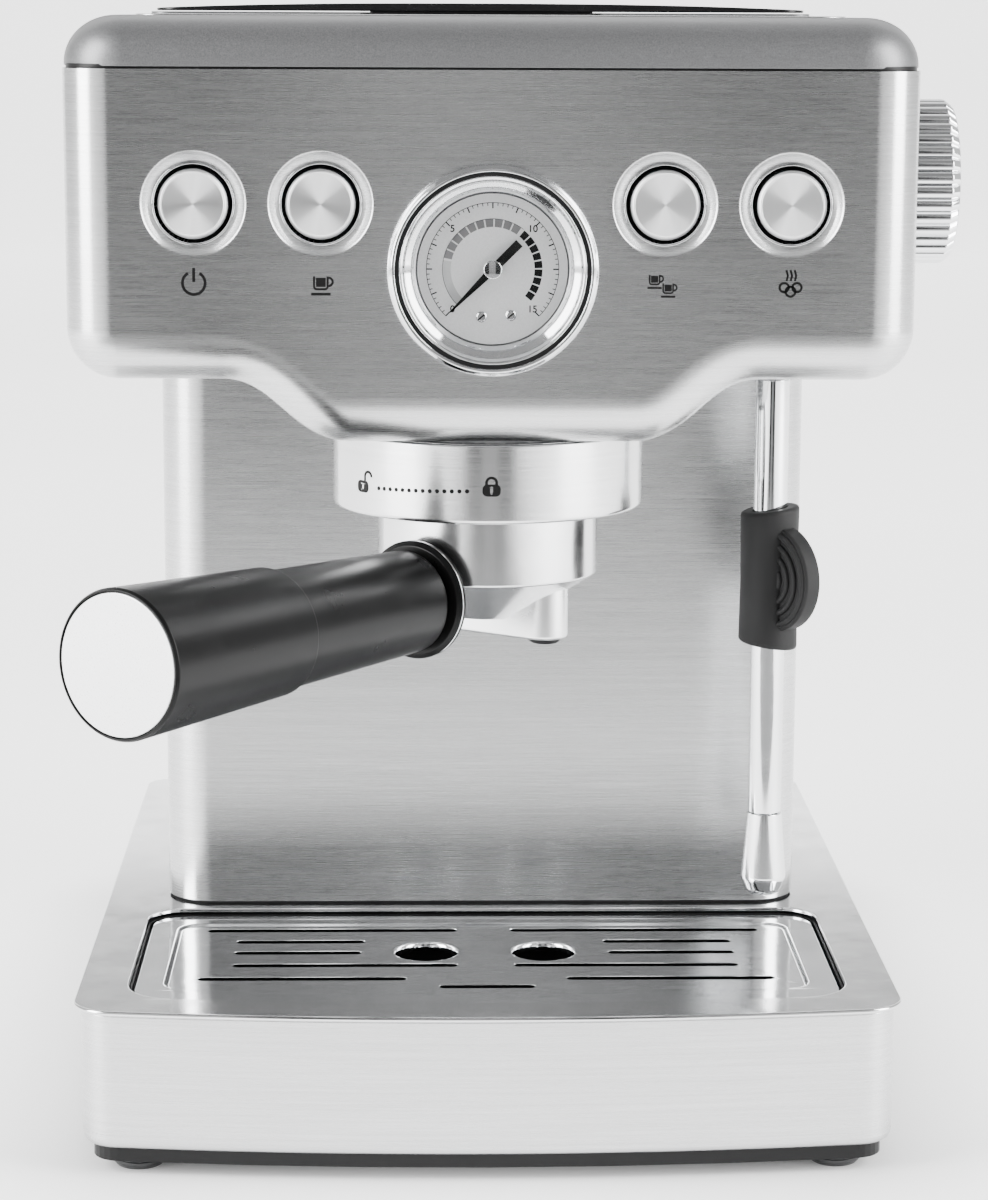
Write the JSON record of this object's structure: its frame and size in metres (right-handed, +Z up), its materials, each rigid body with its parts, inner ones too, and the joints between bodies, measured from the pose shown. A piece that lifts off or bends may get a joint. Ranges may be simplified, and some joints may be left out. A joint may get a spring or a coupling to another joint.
{
  "type": "espresso machine",
  "caption": "Pump espresso machine in brushed steel with a portafilter, pressure gauge, push buttons, steam wand, side steam knob, drip tray drawer and rear water tank.",
  "frame": {"origin": "centre of the bounding box's footprint, on the worktop", "axes": "+Z up, +X to the right and -Y towards the user, who faces the gauge"},
  "size_m": [0.2466, 0.367, 0.3217],
  "materials": {
    "brushed_steel": "fine horizontal brushing",
    "polished_steel": "mirror polish",
    "silver_paint": "fine-grained satin silver",
    "black_plastic": "satin moulded",
    "handle_plastic": "satin moulded",
    "black_rubber": "matte grained",
    "clear_rubber": "translucent grey",
    "tank_plastic": "clear smoke tint",
    "gauge_glass": "clear",
    "dial_print": "pale satin with a printed scale",
    "needle_paint": "satin black",
    "casting": "as cast",
    "brass": "turned",
    "silicone": "milky silicone",
    "circuit_board": "solder mask"
  },
  "bodies": {
    "root": {"foot_front_left": "clear_rubber", "foot_front_right": "clear_rubber", "foot_rear_left": "clear_rubber", "foot_rear_right": "clear_rubber", "base_chassis": "black_plastic", "base_wrap": "brushed_steel", "top_deck": "polished_steel", "cord_gland": "black_rubber", "column_skin": "brushed_steel", "back_cover": "silver_paint", "tank_well": "black_plastic", "head_shell": "brushed_steel", "head_floor": "black_plastic", "top_cover": "silver_paint", "cup_plate": "brushed_steel", "group_collar": "polished_steel", "bayonet_ring": "brushed_steel", "brew_head": "casting", "group_gasket": "black_rubber", "shower_screen": "polished_steel", "wand_socket": "polished_steel", "valve_body": "brass", "gauge_housing": "polished_steel", "gauge_dial": "dial_print", "gauge_lens": "gauge_glass", "switch_board": "circuit_board", "boiler": "casting", "pump_body": "casting", "control_board": "circuit_board", "suction_hose": "silicone", "pressure_hose": "silicone", "steam_pipe": "brass", "wand_pipe": "brass"},
    "drip_drawer": {"drawer_front": "brushed_steel", "drip_tray": "black_plastic"},
    "drip_grille": {"drip_grille": "polished_steel"},
    "water_tank": {"water_tank": "tank_plastic", "tank_valve": "black_plastic"},
    "tank_lid": {"tank_lid": "black_plastic"},
    "filter_basket": {"filter_basket": "polished_steel"},
    "portafilter": {"portafilter_bowl": "polished_steel", "spout": "polished_steel", "spout_nozzle_left": "black_plastic", "spout_nozzle_right": "black_plastic", "handle_ferrule": "handle_plastic", "handle_neck": "handle_plastic", "handle_grip": "handle_plastic", "handle_cap": "polished_steel"},
    "wand_ball": {"wand_ball": "polished_steel"},
    "steam_wand": {"wand_tube": "polished_steel", "wand_grip": "black_rubber", "frother_sleeve": "polished_steel"},
    "steam_knob": {"steam_knob": "polished_steel", "valve_stem": "brass"},
    "gauge_needle": {"gauge_needle": "needle_paint"},
    "button_power": {"button_power": "brushed_steel"},
    "button_one_cup": {"button_one_cup": "brushed_steel"},
    "button_two_cup": {"button_two_cup": "brushed_steel"},
    "button_steam": {"button_steam": "brushed_steel"},
    "pump_piston": {"pump_piston": "brushed_steel"}
  },
  "joints": [
    {"name": "drawer_slide", "type": "slide", "parent": "root", "child": "drip_drawer", "axis": [0, -1, 0], "range_m": [0, 0.13]},
    {"name": "grille_lift", "type": "slide", "parent": "drip_drawer", "child": "drip_grille", "axis": [0, 0, 1], "range_m": [0, 0.015]},
    {"name": "tank_lift", "type": "slide", "parent": "root", "child": "water_tank", "axis": [0, 0, 1], "range_m": [0, 0.27]},
    {"name": "lid_hinge", "type": "hinge", "parent": "water_tank", "child": "tank_lid", "pos_m": [-0.00775, 0.17795, 0.3192], "axis": [-1, 0, 0], "range_deg": [0, 95]},
    {"name": "portafilter_drop", "type": "slide", "parent": "root", "child": "filter_basket", "axis": [0, 0, -1], "range_m": [0, 0.06]},
    {"name": "portafilter_turn", "type": "hinge", "parent": "filter_basket", "child": "portafilter", "pos_m": [-0.00775, -0.04055, 0.187], "axis": [0, 0, 1], "range_deg": [-20, 35]},
    {"name": "wand_swing_out", "type": "hinge", "parent": "root", "child": "wand_ball", "pos_m": [0.07275, -0.03455, 0.225], "axis": [0, -1, 0], "range_deg": [-12, 30]},
    {"name": "wand_swing_forward", "type": "hinge", "parent": "wand_ball", "child": "steam_wand", "pos_m": [0.07275, -0.03455, 0.225], "axis": [-1, 0, 0], "range_deg": [-12, 30]},
    {"name": "knob_turn", "type": "hinge", "parent": "root", "child": "steam_knob", "pos_m": [0.11225, -0.02455, 0.2725], "axis": [1, 0, 0], "range_deg": [0, 180]},
    {"name": "needle_turn", "type": "hinge", "parent": "root", "child": "gauge_needle", "pos_m": [-0.00775, -0.08655, 0.2522], "axis": [0, 1, 0], "range_deg": [0, 270], "stiffness_Nm_per_rad": 0.0004, "springref_deg": -5.73},
    {"name": "press_power", "type": "slide", "parent": "root", "child": "button_power", "axis": [0, 1, 0], "range_m": [0, 0.002], "stiffness_N_per_m": 400, "springref_m": -0.001},
    {"name": "press_one_cup", "type": "slide", "parent": "root", "child": "button_one_cup", "axis": [0, 1, 0], "range_m": [0, 0.002], "stiffness_N_per_m": 400, "springref_m": -0.001},
    {"name": "press_two_cup", "type": "slide", "parent": "root", "child": "button_two_cup", "axis": [0, 1, 0], "range_m": [0, 0.002], "stiffness_N_per_m": 400, "springref_m": -0.001},
    {"name": "press_steam", "type": "slide", "parent": "root", "child": "button_steam", "axis": [0, 1, 0], "range_m": [0, 0.002], "stiffness_N_per_m": 400, "springref_m": -0.001},
    {"name": "piston_stroke", "type": "slide", "parent": "root", "child": "pump_piston", "axis": [0, 0, 1], "range_m": [-0.004, 0.004], "stiffness_N_per_m": 600, "springref_m": 0.00035}
  ]
}
